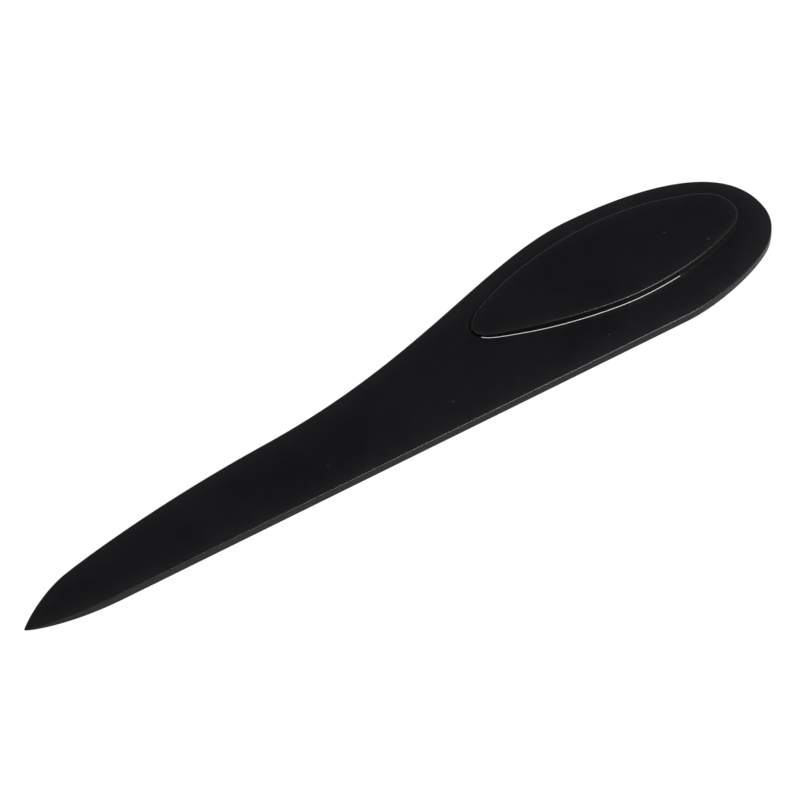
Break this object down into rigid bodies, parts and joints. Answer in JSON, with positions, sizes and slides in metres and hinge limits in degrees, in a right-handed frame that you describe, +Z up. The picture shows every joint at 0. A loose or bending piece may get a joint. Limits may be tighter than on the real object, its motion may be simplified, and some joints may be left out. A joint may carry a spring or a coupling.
{
  "type": "pry blade with clip",
  "caption": "Flat matt black plastic pry blade and letter opener: leaf-shaped blade, oval handle and a springy almond clip tongue over a window in the handle.",
  "frame": {"origin": "middle of the bounding box, on the flat underside that the tool rests on", "axes": "+X from the blade's tip to the handle's end, +Y from the straight side to the waisted side, +Z up, out of the face that carries the clip"},
  "size_m": [0.2, 0.0384, 0.0038],
  "materials": {
    "moulded_plastic": "fine matt spark-eroded texture, slightly polished on the rounded edges"
  },
  "bodies": {
    "plate": {"blade_plate": "moulded_plastic", "clip_butt": "moulded_plastic"},
    "clip": {"clip_tongue": "moulded_plastic", "grip_nib": "moulded_plastic"}
  },
  "joints": [
    {"name": "clip_flex", "type": "hinge", "parent": "plate", "child": "clip", "pos_m": [0.06602, 0.00205, 0.00385], "axis": [0, 1, 0], "range_deg": [0, 8], "stiffness_Nm_per_rad": 0.92}
  ]
}
